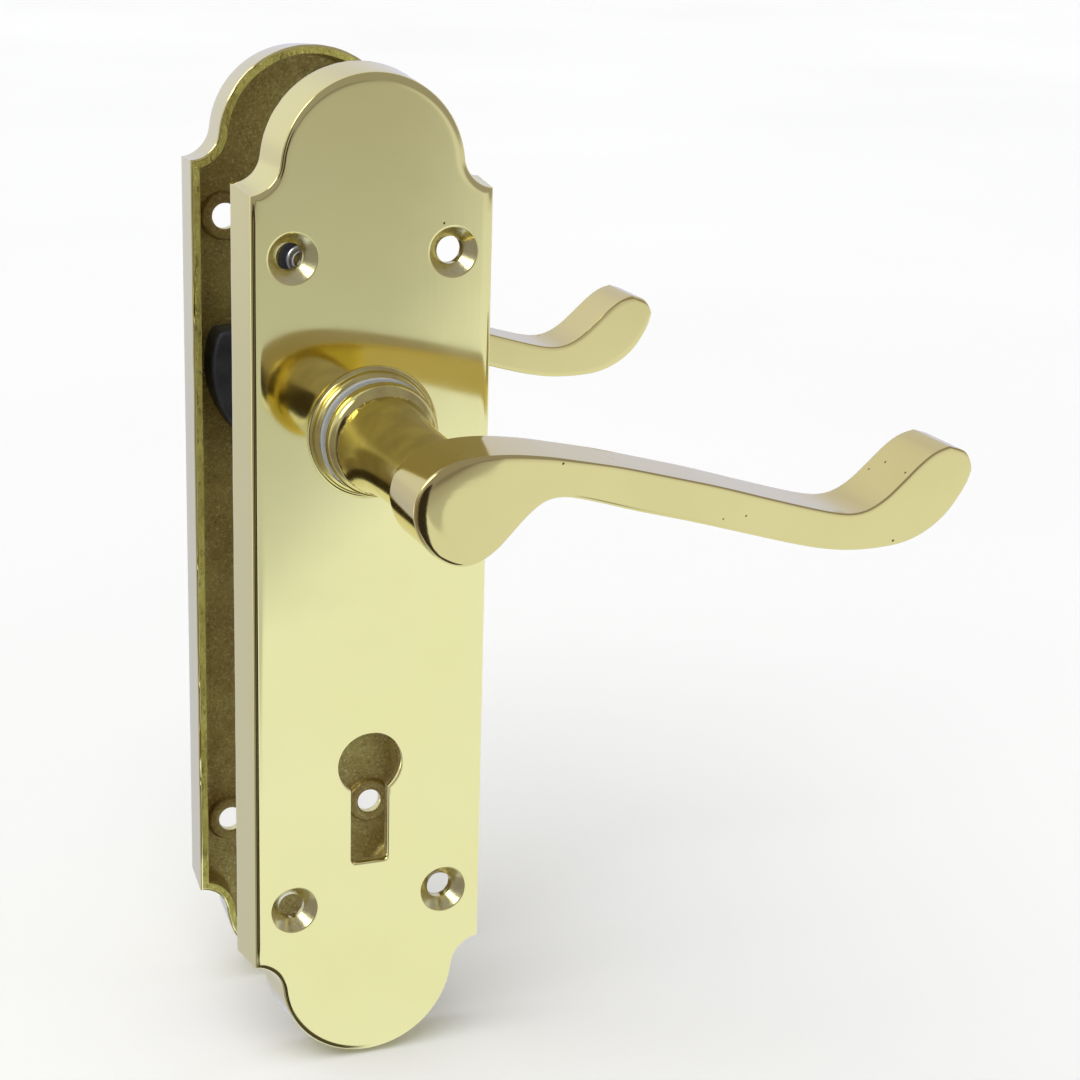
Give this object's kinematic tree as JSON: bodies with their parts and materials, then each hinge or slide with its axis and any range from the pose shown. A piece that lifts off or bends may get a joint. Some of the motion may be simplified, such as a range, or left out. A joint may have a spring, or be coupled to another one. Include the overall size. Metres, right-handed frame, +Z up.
{
  "type": "lever door handle pair",
  "caption": "Pair of brass scroll lever handles on arched lock backplates with keyholes, sprung, sharing a square spindle through the door.",
  "frame": {"origin": "on the spindle's axis, in the plane where the front plate meets the door", "axes": "+X along the levers from the spindle to the tips, +Y along the spindle from the front handle to the rear handle, +Z up the plates"},
  "size_m": [0.1039, 0.1322, 0.168],
  "materials": {
    "brass_polished": "mirror polished on the faces, as cast on the backs",
    "nylon": "plain moulded nylon",
    "steel_plated": "zinc plated",
    "spring_steel": "oiled spring steel",
    "steel_dark": "dark phosphated pressed steel"
  },
  "bodies": {
    "front_backplate": {"front_plate": "brass_polished", "front_bush": "nylon", "front_return_spring": "spring_steel", "front_stop_pins": "steel_plated", "front_spring_cover": "steel_dark", "front_cover_rivets": "steel_plated"},
    "front_handle": {"front_lever": "brass_polished", "front_drive_cam": "steel_plated", "front_thrust_washer": "steel_plated", "front_circlip": "spring_steel", "front_grub_screw": "steel_dark", "spindle": "steel_plated"},
    "rear_backplate": {"rear_plate": "brass_polished", "rear_bush": "nylon", "rear_return_spring": "spring_steel", "rear_stop_pins": "steel_plated", "rear_spring_cover": "steel_dark", "rear_cover_rivets": "steel_plated"},
    "rear_handle": {"rear_lever": "brass_polished", "rear_drive_cam": "steel_plated", "rear_thrust_washer": "steel_plated", "rear_circlip": "spring_steel", "rear_grub_screw": "steel_dark"}
  },
  "joints": [
    {"name": "front_lever_turn", "type": "hinge", "parent": "front_backplate", "child": "front_handle", "pos_m": [0, 0, 0], "axis": [0, 1, 0], "range_deg": [0, 45], "stiffness_Nm_per_rad": 0.8, "springref_deg": -28.65, "deforming": ["front_return_spring"]},
    {"name": "rear_plate_slide", "type": "slide", "parent": "front_backplate", "child": "rear_backplate", "axis": [0, 1, 0], "range_m": [0, 0.02]},
    {"name": "rear_lever_turn", "type": "hinge", "parent": "rear_backplate", "child": "rear_handle", "pos_m": [0, 0.0244, 0], "axis": [0, 1, 0], "range_deg": [0, 45], "stiffness_Nm_per_rad": 0.8, "springref_deg": -28.65, "deforming": ["rear_return_spring"]}
  ],
  "couplings": [
    {"joint": "rear_lever_turn", "follows": "front_lever_turn", "ratio": 1}
  ]
}
